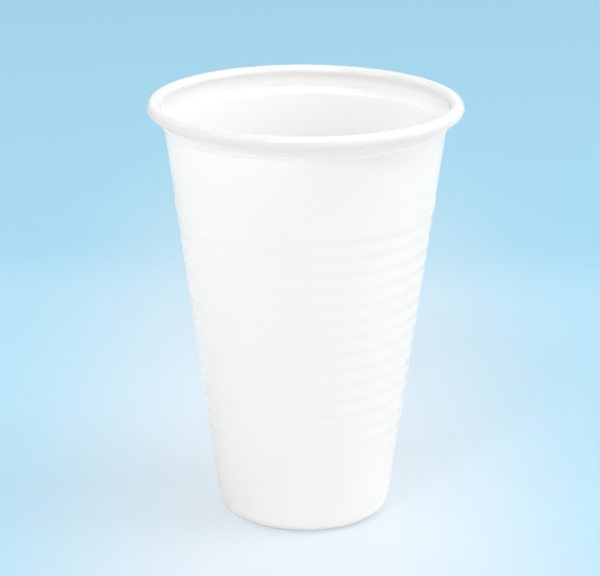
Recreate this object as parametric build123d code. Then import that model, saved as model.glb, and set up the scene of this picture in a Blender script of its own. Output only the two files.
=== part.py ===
from build123d import *

import os
from math import acos, atan, cos, degrees, radians, sin

# A disposable drinking cup, formed from one thin sheet: the floor, the wall and the rolled rim are one piece.
# Its axis is Z and it stands on Z = 0. All sizes are in millimetres.

# Overall sizes
height = 96.3  # from the surface it stands on to the top of the rolled rim
rim_diameter = 70.3  # over the rolled rim
foot_diameter = 37.66  # inside the wall, with its slope carried down to the surface it stands on
sheet = 0.25  # thickness

# Rolled rim: the edge of the sheet is curled outwards and down, nearly back to the wall
roll_radius = 1.55  # outside, across the roll's own section
roll_facets = 6  # round the roll, from the mouth over the top to its underside
lip_gap = 0.3  # from the sheet's end, inside the roll, to the wall

# Ledge inside the mouth, which a stacked cup is held off by
ledge_depth = 5.0  # below the top of the rim
ledge_width = 1.0
ledge_slope = 0.6  # height of its slope

# Plain band below the ledge, and the wide shoulder that ends it
band_height = 13.7
shoulder_height = 5.0
shoulder_relief = 0.2  # how far its lower edge stands out from the wall

# Ribs round the outside: each widens in a short steep slope, then closes in gently up to the next one
rib_count = 14
rib_start = 21.0  # height of the lowest rib's foot
rib_slope = 1.6  # height of the steep part
rib_relief = 0.1  # how far a rib stands out from the wall, and its groove falls in

# Heel, foot ring and raised floor
heel_radius = 4.0  # outside
heel_facets = 3
foot_ring = 1.6  # width of the flat ring that the cup stands on
floor_rise = 1.2  # from the surface up to the underside of the floor
floor_slope = 1.0  # width of the slope between the foot ring and the floor

# Heights and radii that follow from them
mouth_radius = rim_diameter / 2 - 2 * roll_radius
ledge_top = height - ledge_depth
ledge_foot = ledge_top - ledge_slope
taper = (mouth_radius - ledge_width - foot_diameter / 2) / ledge_foot
lean = atan(taper)
shoulder_top = ledge_foot - band_height
shoulder_foot = shoulder_top - shoulder_height
rib_pitch = (shoulder_foot - rib_slope - rib_start) / (rib_count - 1)


def wall_radius(z, stand_out=0.0):
    """Radius of the plain wall's inside at a height, or further out from it."""
    return foot_diameter / 2 + taper * z + stand_out


def arc_corners(centre, radius, start, end, facets):
    """Corners along an arc of the section, between two angles in degrees."""
    angles = [radians(start + (end - start) * i / facets) for i in range(facets + 1)]
    return [Vector(centre.X + radius * cos(a), centre.Y + radius * sin(a)) for a in angles]


def base_corners():
    """Inside of the floor, the foot ring and the heel, from the axis out to the wall."""
    inner_heel = heel_radius - sheet
    centre = Vector(wall_radius(heel_radius, -inner_heel / cos(lean)), heel_radius)
    ring_edge = centre.X - foot_ring
    floor_edge = ring_edge - floor_slope
    floor = [(0, floor_rise + sheet), (floor_edge, floor_rise + sheet), (ring_edge, sheet)]
    return [Vector(*corner) for corner in floor] + arc_corners(centre, inner_heel, -90, -degrees(lean), heel_facets)


def rim_corners():
    """Mouth side of the ledge and the roll, from the wall up, over and round to the sheet's end."""
    centre = Vector(rim_diameter / 2 - roll_radius, height - roll_radius)
    lip_reach = centre.X - (mouth_radius + sheet + lip_gap)
    lip_angle = degrees(acos(lip_reach / roll_radius)) - 180
    ledge = [Vector(wall_radius(ledge_foot), ledge_foot), Vector(mouth_radius, ledge_top)]
    roll = arc_corners(centre, roll_radius, 180, -90, roll_facets)
    return ledge + roll + arc_corners(centre, roll_radius, -90, lip_angle, 1)[1:]


def rib_corners():
    """Outside of the ribs, each with its groove below it, and of the shoulder above them."""
    outside = sheet / cos(lean)
    corners = []
    for i in range(rib_count):
        groove = rib_start + i * rib_pitch
        crest = groove + rib_slope
        relief = shoulder_relief if i == rib_count - 1 else rib_relief
        corners.append(Vector(wall_radius(groove, outside - rib_relief), groove))
        corners.append(Vector(wall_radius(crest, outside + relief), crest))
    return corners + [Vector(wall_radius(shoulder_top, outside), shoulder_top)]


def outer_face(corners):
    """The sheet's other face: each corner moves so that both sides that meet there keep the sheet's thickness."""
    normals = [(b - a).normalized().rotate(Axis.Z, -90) for a, b in zip(corners, corners[1:])]
    sides = zip(corners, normals[:1] + normals, normals + normals[-1:])
    return [corner + (n + m) * (sheet / (1 + n.dot(m))) for corner, n, m in sides]


def make_cup():
    """The sheet's whole section, turned about the axis."""
    base, rim = base_corners(), rim_corners()
    inside = base + rim
    outside = outer_face(inside)
    outside[len(base) : len(base)] = rib_corners()
    section = make_face(Polyline(*inside, *reversed(outside), close=True))
    return revolve(Plane.XZ * section, axis=Axis.Z)


os.makedirs("parts", exist_ok=True)
cup = make_cup()
export_step(cup, "parts/cup.step")
print(f"cup: {cup.volume:.0f} cubic mm, taper {taper:.4f}, rib pitch {rib_pitch:.2f} mm, valid {cup.is_valid}")
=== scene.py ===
"""Dresses the disposable plastic cup: its formed sheet, its milky finish, and the studio that shows it.

Everything is in metres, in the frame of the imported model: the cup's axis is Z and it stands on Z = 0.
"""

import logging
import math
from dataclasses import dataclass
from enum import Enum

import bpy
from mathutils import Matrix, Vector


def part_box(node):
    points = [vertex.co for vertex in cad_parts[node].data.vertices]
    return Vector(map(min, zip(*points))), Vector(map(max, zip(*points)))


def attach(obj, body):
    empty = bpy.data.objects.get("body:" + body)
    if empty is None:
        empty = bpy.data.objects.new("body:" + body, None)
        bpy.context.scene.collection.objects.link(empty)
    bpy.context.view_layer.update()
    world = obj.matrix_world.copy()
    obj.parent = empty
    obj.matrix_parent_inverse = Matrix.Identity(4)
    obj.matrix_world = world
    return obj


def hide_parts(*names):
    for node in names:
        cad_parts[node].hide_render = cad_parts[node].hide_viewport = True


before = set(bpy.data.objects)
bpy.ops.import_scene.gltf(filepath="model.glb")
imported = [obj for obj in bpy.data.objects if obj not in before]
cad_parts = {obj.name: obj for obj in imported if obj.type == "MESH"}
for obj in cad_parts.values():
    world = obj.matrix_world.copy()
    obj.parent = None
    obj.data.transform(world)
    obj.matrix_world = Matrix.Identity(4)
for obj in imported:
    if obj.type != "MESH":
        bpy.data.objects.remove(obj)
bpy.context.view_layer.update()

logging.basicConfig(level=logging.INFO, format="%(levelname)s %(message)s")
log = logging.getLogger("cup")

MM = 0.001
SEED = 1 * MM  # side of the square that is merged into a section's first corner
SAME_PLACE = 0.01 * MM  # corners nearer than this are one corner
SEAM = 0.001 * MM  # corners nearer than this are merged when the section has been turned

Section = tuple[float, float]
Colour = tuple[float, float, float]


def linear(red: int, green: int, blue: int) -> Colour:
    """Turns a screen colour, from 0 to 255, into the linear one that shaders take.

    Args:
        red: Red as a screen shows it.
        green: Green as a screen shows it.
        blue: Blue as a screen shows it.

    Returns:
        The same colour in linear light, from 0 to 1.
    """
    shares = (channel / 255 for channel in (red, green, blue))
    return tuple(s / 12.92 if s <= 0.04045 else ((s + 0.055) / 1.055) ** 2.4 for s in shares)


class Arithmetic(Enum):
    """What a Math node works out."""

    PLUS = "ADD"
    MINUS = "SUBTRACT"
    TIMES = "MULTIPLY"
    WITHOUT_SIGN = "ABSOLUTE"


class MixSocket(Enum):
    """The colour sockets of a Mix node, by place, because its sockets for other kinds share their names."""

    SHARE = 0
    FIRST = 6
    SECOND = 7
    RESULT = 2


class Value:
    """A number on its way through a shader, which Python's operators work on."""

    def __init__(self, paint: "Paint", socket: bpy.types.NodeSocket) -> None:
        """Wraps a socket of a shader."""
        self.paint = paint
        self.socket = socket

    def _math(self, arithmetic: Arithmetic, *numbers: "Number") -> "Value":
        """Adds one Math node.

        Args:
            arithmetic: What it works out.
            numbers: Its inputs, in order.

        Returns:
            The node's result.
        """
        settings = {"operation": arithmetic.value}
        return self.paint.node("ShaderNodeMath", settings, dict(enumerate(numbers))).value()

    def __add__(self, other: "Number") -> "Value":
        """Adds."""
        return self._math(Arithmetic.PLUS, self, other)

    def __radd__(self, other: "Number") -> "Value":
        """Adds, with the plain number first."""
        return self._math(Arithmetic.PLUS, other, self)

    def __sub__(self, other: "Number") -> "Value":
        """Subtracts."""
        return self._math(Arithmetic.MINUS, self, other)

    def __rsub__(self, other: "Number") -> "Value":
        """Subtracts, with the plain number first."""
        return self._math(Arithmetic.MINUS, other, self)

    def __mul__(self, other: "Number") -> "Value":
        """Multiplies."""
        return self._math(Arithmetic.TIMES, self, other)

    def __rmul__(self, other: "Number") -> "Value":
        """Multiplies, with the plain number first."""
        return self._math(Arithmetic.TIMES, other, self)

    def __abs__(self) -> "Value":
        """Drops the sign."""
        return self._math(Arithmetic.WITHOUT_SIGN, self)

    def fade(self, start: float, end: float) -> "Value":
        """Goes smoothly from 0 at one value to 1 at another.

        Args:
            start: Where the result is still 0.
            end: Where it reaches 1.

        Returns:
            The faded value.
        """
        settings = {"interpolation_type": "SMOOTHSTEP"}
        inputs = {"Value": self, "From Min": start, "From Max": end}
        return self.paint.node("ShaderNodeMapRange", settings, inputs).value("Result")


Number = Value | float


class Step:
    """One node that has been added, with its results."""

    def __init__(self, paint: "Paint", node: bpy.types.Node) -> None:
        """Wraps a node of a shader."""
        self.paint = paint
        self.node = node

    def value(self, name: str | int = 0) -> Value:
        """Gives one of the node's results, by name or by place."""
        return Value(self.paint, self.node.outputs[name])


class Paint:
    """The nodes of one material, world or light, which it adds and links."""

    def __init__(self, tree: bpy.types.NodeTree) -> None:
        """Takes a node tree and empties it."""
        self.tree = tree
        tree.nodes.clear()

    def node(self, kind: str, settings: dict[str, object], inputs: dict[str | int, object]) -> Step:
        """Adds one node, makes its settings and then fills its inputs.

        Args:
            kind: The node's type.
            settings: Its own settings, such as a Math node's operation.
            inputs: What each input socket holds or is linked to.

        Returns:
            The node.
        """
        node = self.tree.nodes.new(kind)
        for name, setting in settings.items():
            setattr(node, name, setting)
        for name, given in inputs.items():
            socket = node.inputs[name]
            if isinstance(given, Value):
                self.tree.links.new(given.socket, socket)
            elif socket.type == "RGBA" and len(given) == 3:
                socket.default_value = (*given, 1.0)
            else:
                socket.default_value = given
        return Step(self, node)

    def place(self, stretch: Section = (1.0, 1.0)) -> Value:
        """The point's own place on the piece, stretched so that a pattern is wider or taller.

        Args:
            stretch: Scale across the axis and along it.

        Returns:
            The stretched place.
        """
        across, along = stretch
        point = self.node("ShaderNodeTexCoord", {}, {}).value("Object")
        scale = (across, across, along)
        return self.node("ShaderNodeMapping", {}, {"Vector": point, "Scale": scale}).value("Vector")

    def noise(self, place: Value, size: float, detail: float) -> Value:
        """Soft noise from 0 to 1.

        Args:
            place: Where on the piece.
            size: How large its patches are.
            detail: How many finer layers it has.

        Returns:
            The noise.
        """
        inputs = {"Vector": place, "Scale": 1 / size, "Detail": detail}
        return self.node("ShaderNodeTexNoise", {}, inputs).value("Fac")

    def mix(self, share: Number, first: Value | Colour, second: Value | Colour) -> Value:
        """Mixes two colours.

        Args:
            share: How much of the second there is.
            first: The colour at a share of 0.
            second: The colour at a share of 1.

        Returns:
            The mixed colour.
        """
        inputs = {
            MixSocket.SHARE.value: share,
            MixSocket.FIRST.value: first,
            MixSocket.SECOND.value: second,
        }
        return self.node("ShaderNodeMix", {"data_type": "RGBA"}, inputs).value(MixSocket.RESULT.value)


@dataclass(frozen=True)
class MilkyPlastic:
    """The sheet's finish: white polypropylene that lets some light through, with a soft gloss."""

    name: str = "milky_plastic"
    white: Colour = (0.935, 0.928, 0.918)
    drawn_white: Colour = (0.922, 0.916, 0.908)  # where the sheet was drawn thin
    drawn_from: float = 25 * MM  # height at which the drawn part is in full
    drawn_to: float = 70 * MM  # height from which it fades out again
    drawn_end: float = 90 * MM
    cloud_size: float = 16 * MM
    cloud_detail: float = 3.0
    cloud_tone: float = 0.35  # how much of the mix between the two whites is clouds
    streak_size: float = 6 * MM
    streak_length: float = 9.0  # times as long, up the wall, as they are wide
    streak_detail: float = 4.0
    roughness: float = 0.22
    roughness_spread: float = 0.04
    wave_size: float = 11 * MM
    wave_flattening: float = 0.6  # below 1 the waves are taller than they are wide
    wave_detail: float = 1.0
    wave_height: float = 0.006 * MM
    grain_size: float = 0.35 * MM
    grain_detail: float = 2.0
    grain_height: float = 0.0002 * MM
    light_depth: float = 0.4 * MM  # how far light goes in between two turns
    refraction: float = 1.49

    def make(self) -> bpy.types.Material:
        """Builds the material.

        Returns:
            The material.
        """
        material = bpy.data.materials.new(self.name)
        material.use_nodes = True
        paint = Paint(material.node_tree)
        shader = paint.node(
            "ShaderNodeBsdfPrincipled",
            {"subsurface_method": "RANDOM_WALK"},
            {
                "Base Color": self._tone(paint),
                "Roughness": self._gloss(paint),
                "IOR": self.refraction,
                "Subsurface Weight": 1.0,
                "Subsurface Radius": (1.0, 1.0, 1.0),
                "Subsurface Scale": self.light_depth,
                "Normal": self._skin(paint),
            },
        )
        paint.node("ShaderNodeOutputMaterial", {}, {"Surface": shader.value("BSDF")})
        return material

    def _tone(self, paint: Paint) -> Value:
        """The colour: cloudy, and a trace greyer where the sheet was drawn thin.

        Args:
            paint: The material's nodes.

        Returns:
            The colour.
        """
        point = paint.node("ShaderNodeTexCoord", {}, {}).value("Object")
        height = paint.node("ShaderNodeSeparateXYZ", {}, {"Vector": point}).value("Z")
        drawn = height.fade(self.drawn_end, self.drawn_to) * height.fade(0.0, self.drawn_from)
        clouds = paint.noise(paint.place(), self.cloud_size, self.cloud_detail)
        share = drawn * (1 - self.cloud_tone) + clouds * self.cloud_tone
        return paint.mix(share, self.white, self.drawn_white)

    def _gloss(self, paint: Paint) -> Value:
        """The roughness: faint streaks up the wall, as the sheet was drawn.

        Args:
            paint: The material's nodes.

        Returns:
            The roughness.
        """
        stretch = (1.0, 1 / self.streak_length)
        streaks = paint.noise(paint.place(stretch), self.streak_size, self.streak_detail)
        noise_middle = 0.5
        return self.roughness + (streaks - noise_middle) * self.roughness_spread

    def _skin(self, paint: Paint) -> Value:
        """The bump: slow waves from cooling, under a grain too fine to see from a step away.

        Args:
            paint: The material's nodes.

        Returns:
            The bumped normal.
        """
        waves = paint.noise(paint.place((1.0, self.wave_flattening)), self.wave_size, self.wave_detail)
        grain = paint.noise(paint.place(), self.grain_size, self.grain_detail)
        lift = waves * self.wave_height + grain * self.grain_height
        return paint.node("ShaderNodeBump", {}, {"Distance": 1.0, "Height": lift}).value("Normal")


def deselect_all() -> None:
    """Leaves no object selected, because an operator acts on all that are."""
    if bpy.context.mode != "OBJECT":
        bpy.ops.object.mode_set(mode="OBJECT")
    bpy.ops.object.select_all(action="DESELECT")


@dataclass(frozen=True)
class Rounding:
    """How a corner of the section is rounded."""

    reach: float
    segments: int


class SectionPen:
    """Draws a section in the plane of X and Z, in edit mode, from one point on."""

    def __init__(self, name: str, start: Section) -> None:
        """Sets the pen down.

        Args:
            name: The piece's name.
            start: Where the section starts, as radius and height.
        """
        deselect_all()
        bpy.ops.mesh.primitive_plane_add(size=SEED, location=(0, 0, 0))
        self.piece = bpy.context.object
        self.piece.name = name
        self.piece.data.name = name
        bpy.ops.object.mode_set(mode="EDIT")
        bpy.ops.mesh.select_mode(type="VERT")
        bpy.ops.mesh.select_all(action="SELECT")
        bpy.ops.mesh.merge(type="CENTER")
        bpy.ops.transform.translate(value=(start[0], 0, start[1]))
        self.at = start
        self.corners: dict[Rounding, list[Vector]] = {}

    def line(self, corner: Section, rounding: Rounding | None = None) -> None:
        """Draws straight on to a corner.

        Args:
            corner: Its radius and height.
            rounding: How it is rounded once the section is whole.
        """
        radius, height = corner
        step = (radius - self.at[0], 0, height - self.at[1])
        bpy.ops.mesh.extrude_vertices_move(TRANSFORM_OT_translate={"value": step})
        self.at = corner
        if rounding:
            self.corners.setdefault(rounding, []).append(Vector((radius, 0, height)))

    def arc(self, centre: Section, turn: float, steps: int) -> None:
        """Draws an arc on from where the pen is.

        Args:
            centre: The arc's centre, as radius and height.
            turn: Its angle in radians, positive from outwards to upwards.
            steps: How many short edges it has.
        """
        bpy.ops.mesh.spin(steps=steps, angle=turn, center=(centre[0], 0, centre[1]), axis=(0, 1, 0))
        spoke = Matrix.Rotation(turn, 2) @ Vector((self.at[0] - centre[0], self.at[1] - centre[1]))
        self.at = (centre[0] + spoke.x, centre[1] + spoke.y)

    def round_corners(self) -> None:
        """Rounds the corners that were marked as they were drawn."""
        for rounding, places in self.corners.items():
            bpy.ops.mesh.select_all(action="DESELECT")
            bpy.ops.object.mode_set(mode="OBJECT")
            for vertex in self.piece.data.vertices:
                vertex.select = any((vertex.co - place).length < SAME_PLACE for place in places)
            bpy.ops.object.mode_set(mode="EDIT")
            bpy.ops.mesh.bevel(offset=rounding.reach, segments=rounding.segments, affect="VERTICES")

    def turn(self, steps: int) -> bpy.types.Object:
        """Turns the section once round the axis and closes the seam and the pole.

        Args:
            steps: How many faces it has round the axis.

        Returns:
            The piece, as a skin with no thickness.
        """
        bpy.ops.mesh.select_all(action="SELECT")
        bpy.ops.mesh.spin(steps=steps, angle=math.tau, center=(0, 0, 0), axis=(0, 0, 1))
        bpy.ops.mesh.select_all(action="SELECT")
        bpy.ops.mesh.remove_doubles(threshold=SEAM)
        bpy.ops.mesh.normals_make_consistent(inside=False)
        bpy.ops.object.mode_set(mode="OBJECT")
        return self.piece


@dataclass(frozen=True)
class Wall:
    """The plain wall's inside face, which the other forms are set out from."""

    foot_radius: float  # with its slope carried down to Z = 0
    top_radius: float
    top: float  # height at which the ledge begins

    @property
    def taper(self) -> float:
        """How much it widens for each metre of height."""
        return (self.top_radius - self.foot_radius) / self.top

    @property
    def lean(self) -> float:
        """Its angle from upright."""
        return math.atan(self.taper)

    def at(self, height: float, stand_out: float = 0.0) -> Section:
        """Gives a point on the wall.

        Args:
            height: How high it is.
            stand_out: How far it stands out from the plain wall.

        Returns:
            Its radius and height.
        """
        return (self.foot_radius + self.taper * height + stand_out, height)


@dataclass(frozen=True)
class Foot:
    """The raised floor, the flat ring that the cup stands on, and the heel."""

    heel_radius: float = 4.0 * MM  # outside
    ring_width: float = 1.6 * MM
    rise: float = 1.2 * MM  # up to the underside of the floor
    slope_width: float = 1.0 * MM  # between the ring and the floor
    edge: Rounding = Rounding(0.4 * MM, 4)
    heel_steps: int = 14

    def draw(self, wall: Wall, sheet: float) -> SectionPen:
        """Draws the floor, the foot ring and the heel.

        Args:
            wall: The wall that the heel turns up into.
            sheet: The sheet's thickness.

        Returns:
            The pen, at the top of the heel.
        """
        inner_heel = self.heel_radius - sheet
        centre = wall.at(self.heel_radius, -inner_heel / math.cos(wall.lean))
        ring_edge = centre[0] - self.ring_width
        pen = SectionPen("formed_cup", (0.0, self.rise + sheet))
        pen.line((ring_edge - self.slope_width, self.rise + sheet), self.edge)
        pen.line((ring_edge, sheet), self.edge)
        pen.line((centre[0], sheet))
        pen.arc(centre, math.pi / 2 - wall.lean, self.heel_steps)
        return pen


@dataclass(frozen=True)
class RibbedWall:
    """The ribs, each steep below and gently closing in above, and the wide shoulder over them."""

    count: int = 14
    start: float = 21.0 * MM  # height of the lowest rib's foot
    slope_height: float = 1.6 * MM  # of the steep part
    relief: float = 0.1 * MM  # how far a rib stands out, and its groove falls in
    rib: Rounding = Rounding(0.55 * MM, 3)
    band_height: float = 13.7 * MM  # from the shoulder up to the ledge
    shoulder_height: float = 5.0 * MM
    shoulder_relief: float = 0.2 * MM
    shoulder: Rounding = Rounding(0.5 * MM, 4)

    def draw(self, pen: SectionPen, wall: Wall) -> None:
        """Draws on from the top of the heel to the plain band.

        Args:
            pen: The pen, at the top of the heel.
            wall: The plain wall.
        """
        shoulder_top = wall.top - self.band_height
        last_start = shoulder_top - self.shoulder_height - self.slope_height
        pitch = (last_start - self.start) / (self.count - 1)
        for i in range(self.count):
            groove = self.start + i * pitch
            last = i == self.count - 1
            relief, rounding = (self.shoulder_relief, self.shoulder) if last else (self.relief, self.rib)
            pen.line(wall.at(groove, -self.relief), rounding)
            pen.line(wall.at(groove + self.slope_height, relief), rounding)
        pen.line(wall.at(shoulder_top), self.shoulder)


@dataclass(frozen=True)
class Mouth:
    """The stacking ledge, the collar above it, and the rolled rim."""

    ledge_depth: float = 5.0 * MM  # below the top of the rim
    ledge_width: float = 1.0 * MM
    ledge_slope: float = 0.6 * MM  # height of its slope
    ledge_foot: Rounding = Rounding(0.75 * MM, 8)
    ledge_edge: Rounding = Rounding(0.38 * MM, 5)
    roll_radius: float = 1.55 * MM
    roll_steps: int = 32
    lip_gap: float = 0.3 * MM  # from the sheet's end, inside the roll, to the wall

    def draw(self, pen: SectionPen, wall: Wall, rim: Section, sheet: float) -> None:
        """Draws on from the plain band, over the ledge and round the roll to the sheet's end.

        Args:
            pen: The pen, on the wall.
            wall: The plain wall.
            rim: Radius over the roll, and height of its top.
            sheet: The sheet's thickness.
        """
        centre = (rim[0] - self.roll_radius, rim[1] - self.roll_radius)
        mouth_radius = rim[0] - 2 * self.roll_radius
        lip_reach = centre[0] - (mouth_radius + sheet + self.lip_gap)
        lip_turn = math.acos(lip_reach / self.roll_radius)
        pen.line(wall.at(wall.top), self.ledge_foot)
        pen.line((mouth_radius, wall.top + self.ledge_slope), self.ledge_edge)
        pen.line((mouth_radius, centre[1]))
        pen.arc(centre, lip_turn - math.tau, self.roll_steps)


@dataclass(frozen=True)
class FormedCup:
    """The whole cup: one sheet, formed into floor, wall and rim."""

    height: float
    rim_radius: float
    finish: MilkyPlastic
    foot_radius: float = 18.83 * MM  # inside the wall, with its slope carried down to Z = 0
    sheet: float = 0.25 * MM
    steps_round: int = 192
    sharp_edge: float = math.radians(60)
    foot: Foot = Foot()
    ribbed_wall: RibbedWall = RibbedWall()
    mouth: Mouth = Mouth()

    def make(self) -> bpy.types.Object:
        """Models the cup, dresses it and puts it in the CAD cup's place.

        Returns:
            The piece.
        """
        mouth = self.mouth
        wall = Wall(
            foot_radius=self.foot_radius,
            top_radius=self.rim_radius - 2 * mouth.roll_radius - mouth.ledge_width,
            top=self.height - mouth.ledge_depth - mouth.ledge_slope,
        )
        pen = self.foot.draw(wall, self.sheet)
        self.ribbed_wall.draw(pen, wall)
        mouth.draw(pen, wall, (self.rim_radius, self.height), self.sheet)
        pen.round_corners()
        piece = pen.turn(self.steps_round)
        self._thicken(piece)
        piece.data.materials.clear()
        piece.data.materials.append(self.finish.make())
        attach(piece, "root")
        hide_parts("cup")
        return piece

    def _thicken(self, piece: bpy.types.Object) -> None:
        """Gives the skin the sheet's thickness, away from the mouth's side, and smooth shading.

        Args:
            piece: The skin, with its faces turned to the mouth's side.
        """
        thickness = piece.modifiers.new("sheet", "SOLIDIFY")
        thickness.thickness = self.sheet
        thickness.offset = -1.0
        thickness.use_even_offset = True
        thickness.use_quality_normals = True
        bpy.ops.object.modifier_apply(modifier=thickness.name)
        bpy.ops.object.shade_smooth_by_angle(angle=self.sharp_edge)


@dataclass(frozen=True)
class PaleBackdrop:
    """The studio floor's colours, with a painted pool of light: a pale glow about the cup that deepens to
    each side and far behind it.
    """

    # painted pool of light: the floor's colour is paler about the cup
    glow: Colour = linear(231, 240, 247)
    near: Colour = linear(187, 229, 249)
    far: Colour = linear(172, 222, 245)
    neutral: Colour = (0.92, 0.92, 0.92)  # as the cup's surfaces receive it
    glow_full_width: float = 10 * MM  # to each side of the cup's axis
    glow_width: float = 87 * MM
    glow_depth: float = 400 * MM  # behind the cup's axis
    far_start: float = 150 * MM  # behind the cup's axis
    far_end: float = 215 * MM
    share_in_gloss: float = 0.3  # in full, the backdrop tints the white cup blue
    shadow_lift: float = 0.68  # how much of the floor's own colour a shadow keeps

    def seen(self, paint: Paint) -> Value:
        """Tells the rays that show the studio from those that carry its light.

        Args:
            paint: The nodes that ask.

        Returns:
            1 for a ray that shows it straight or through glass, less in gloss, and 0 for light.
        """
        path = paint.node("ShaderNodeLightPath", {}, {})
        shown = path.value("Is Camera Ray") + path.value("Is Transmission Ray")
        return shown + path.value("Is Glossy Ray") * self.share_in_gloss

    def make_floor(self) -> bpy.types.Material:
        """Builds the floor's material.

        Returns:
            The material.
        """
        material = bpy.data.materials.new("studio_floor")
        material.use_nodes = True
        paint = Paint(material.node_tree)
        point = paint.node("ShaderNodeTexCoord", {}, {}).value("Object")
        parts = paint.node("ShaderNodeSeparateXYZ", {}, {"Vector": point})
        aside = abs(parts.value("X"))
        behind = parts.value("Y")
        plain = paint.mix(behind.fade(self.far_start, self.far_end), self.near, self.far)
        # painted pool of light: share of the pale glow, full beside the cup and fading to each side and
        # behind it
        glow_share = aside.fade(self.glow_width, self.glow_full_width) * behind.fade(self.glow_depth, 0.0)
        drawn = paint.mix(glow_share, plain, self.glow)
        colour = paint.mix(self.seen(paint), self.neutral, drawn)
        lit = paint.node("ShaderNodeBsdfDiffuse", {}, {"Color": colour}).value("BSDF")
        glowing = paint.node("ShaderNodeEmission", {}, {"Color": drawn}).value("Emission")
        glowing_share = self.seen(paint) * self.shadow_lift
        surface = paint.node("ShaderNodeMixShader", {}, {"Fac": glowing_share, 1: lit, 2: glowing}).value()
        paint.node("ShaderNodeOutputMaterial", {}, {"Surface": surface})
        return material

    def make_world(self, light: "RingLight") -> bpy.types.World:
        """Builds the world: the far colour for rays that show it, and soft light for the rest.

        Args:
            light: The soft light.

        Returns:
            The world.
        """
        world = bpy.data.worlds.new("studio")
        world.use_nodes = True
        paint = Paint(world.node_tree)
        seen = self.seen(paint)
        colour = paint.mix(seen, light.white, self.far)
        strength = seen + (1 - seen) * light.strength_at(paint)
        surface = paint.node("ShaderNodeBackground", {}, {"Color": colour, "Strength": strength}).value()
        paint.node("ShaderNodeOutputWorld", {}, {"Surface": surface})
        return world


@dataclass(frozen=True)
class RingLight:
    """Soft light from all round, strongest low down, as from a ring of large diffusers."""

    white: Colour = (1.0, 1.0, 1.0)
    strength: float = 1.1
    low: float = math.radians(-8)  # elevations of its edges, seen from the cup
    full_from: float = math.radians(14)
    full_to: float = math.radians(21)
    high: float = math.radians(31)

    def strength_at(self, paint: Paint) -> Value:
        """Works out the light's strength from a ray's elevation.

        Args:
            paint: The world's nodes.

        Returns:
            The strength.
        """
        ray = paint.node("ShaderNodeTexCoord", {}, {}).value("Generated")
        rise = paint.node("ShaderNodeSeparateXYZ", {}, {"Vector": ray}).value("Z")
        rising = rise.fade(math.sin(self.low), math.sin(self.full_from))
        falling = rise.fade(math.sin(self.high), math.sin(self.full_to))
        return rising * falling * self.strength


@dataclass(frozen=True)
class SoftLamp:
    """A square lamp that points at the cup."""

    name: str
    bearing: float  # degrees, from the camera's side of the cup towards its right
    elevation: float  # degrees
    watts: float
    width: float = 0.35
    distance: float = 0.9
    aim: tuple[float, float, float] = (0.0, 0.0, 48 * MM)  # the middle of the cup

    def add(self) -> None:
        """Adds the lamp."""
        around, up = math.radians(self.bearing), math.radians(self.elevation)
        towards = Vector((math.sin(around) * math.cos(up), -math.cos(around) * math.cos(up), math.sin(up)))
        place = Vector(self.aim) + towards * self.distance
        turn = towards.to_track_quat("Z", "Y").to_euler()
        bpy.ops.object.light_add(type="AREA", location=place, rotation=turn)
        lamp = bpy.context.object
        lamp.name = self.name
        lamp.data.shape = "SQUARE"
        lamp.data.size = self.width
        lamp.data.energy = self.watts


@dataclass(frozen=True)
class Studio:
    """The floor, the light and the camera."""

    backdrop: PaleBackdrop = PaleBackdrop()
    floor_radius: float = 4.0
    floor_sides: int = 96
    ring_light: RingLight = RingLight()
    lamps: tuple[SoftLamp, ...] = (
        SoftLamp("key_right", bearing=85, elevation=48, watts=4.0, width=0.5),
        SoftLamp("front_left", bearing=-20, elevation=45, watts=1.75, width=0.14),
        SoftLamp("top", bearing=25, elevation=74, watts=1.7),
        SoftLamp("back", bearing=155, elevation=60, watts=1.2),
        SoftLamp("left", bearing=-60, elevation=35, watts=1.15),
        SoftLamp("back_left", bearing=-120, elevation=35, watts=0.6),
    )
    camera_distance: float = 600 * MM
    camera_elevation: float = math.radians(17.7)
    camera_roll: float = math.radians(0.23)
    camera_aim_aside: float = -1.054 * MM
    camera_aim_height: float = 52.37 * MM
    camera_near: float = 10 * MM  # nothing nearer than this is drawn
    focal_pixels: float = 2653
    image_width: int = 600
    sensor_width: float = 36.0  # in the camera's own millimetres

    def make(self) -> None:
        """Builds the whole studio."""
        self._add_floor()
        bpy.context.scene.world = self.backdrop.make_world(self.ring_light)
        for lamp in self.lamps:
            deselect_all()
            lamp.add()
        self._add_camera()

    def _add_floor(self) -> None:
        """Adds the floor."""
        deselect_all()
        sides, radius = self.floor_sides, self.floor_radius
        bpy.ops.mesh.primitive_circle_add(vertices=sides, radius=radius, fill_type="NGON")
        floor = bpy.context.object
        floor.name = "studio_floor"
        floor.data.materials.append(self.backdrop.make_floor())

    def _add_camera(self) -> None:
        """Adds the camera at the photograph's angle."""
        deselect_all()
        aim = Vector((self.camera_aim_aside, 0, self.camera_aim_height))
        back = Vector((0, -math.cos(self.camera_elevation), math.sin(self.camera_elevation)))
        turn = back.to_track_quat("Z", "Y").to_matrix() @ Matrix.Rotation(self.camera_roll, 3, "Z")
        place = aim + back * self.camera_distance
        bpy.ops.object.camera_add(location=place, rotation=turn.to_euler())
        camera = bpy.context.object
        camera.name = "photo_camera"
        camera.data.sensor_width = self.sensor_width
        camera.data.lens = self.focal_pixels * self.sensor_width / self.image_width
        camera.data.clip_start = self.camera_near
        bpy.context.scene.camera = camera


def main() -> None:
    """Builds the cup and its studio."""
    low, high = (Vector(corner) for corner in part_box("cup"))
    cup = FormedCup(height=high.z, rim_radius=(high.x - low.x) / 2, finish=MilkyPlastic())
    piece = cup.make()
    log.info("%s: %d faces", piece.name, len(piece.data.polygons))
    studio = Studio()
    studio.make()
    log.info("studio: floor, %d lamps and camera", len(studio.lamps))
    bpy.context.scene.view_settings.view_transform = "Standard"


if __name__ == "__main__":
    main()
